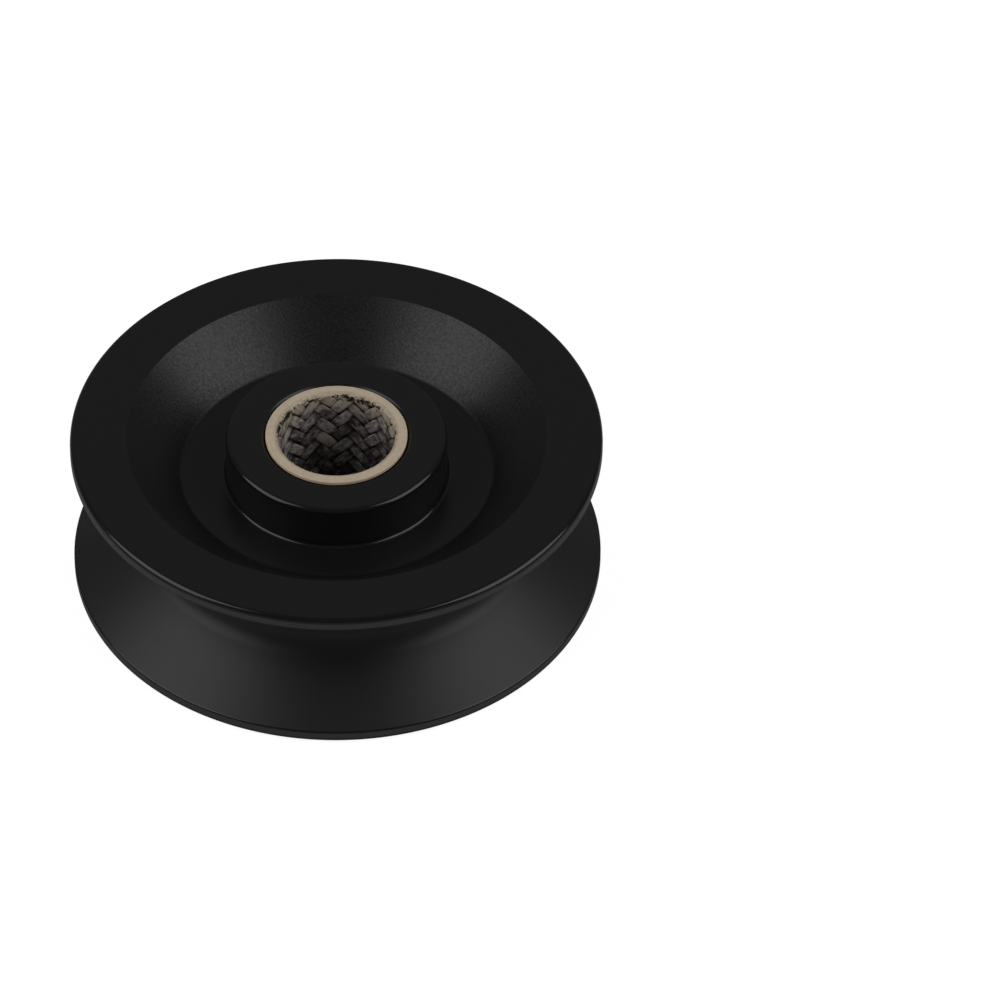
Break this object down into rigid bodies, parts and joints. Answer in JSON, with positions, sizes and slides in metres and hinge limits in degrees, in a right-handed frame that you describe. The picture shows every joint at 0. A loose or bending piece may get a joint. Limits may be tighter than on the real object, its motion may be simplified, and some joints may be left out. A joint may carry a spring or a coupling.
{
  "type": "v-groove sheave",
  "caption": "Black V-groove rope sheave with dished sides and a hub, and a pressed-in composite bushing with a braided liner.",
  "frame": {"origin": "on the bore's axis, in the middle of the sheave's width", "axes": "+Z along the bore's axis; the sheave lies flat on its side, and the two sides are alike"},
  "size_m": [0.1155, 0.1154, 0.037],
  "materials": {
    "wheel": "black nylon, turned, satin",
    "bushing_shell": "resin-bonded wound glass fibre, cut and faced",
    "bushing_liner": "braided low-friction fibre set in resin"
  },
  "bodies": {
    "root": {"sheave_wheel": "wheel", "bushing_shell": "bushing_shell", "bushing_liner": "bushing_liner"}
  },
  "joints": []
}
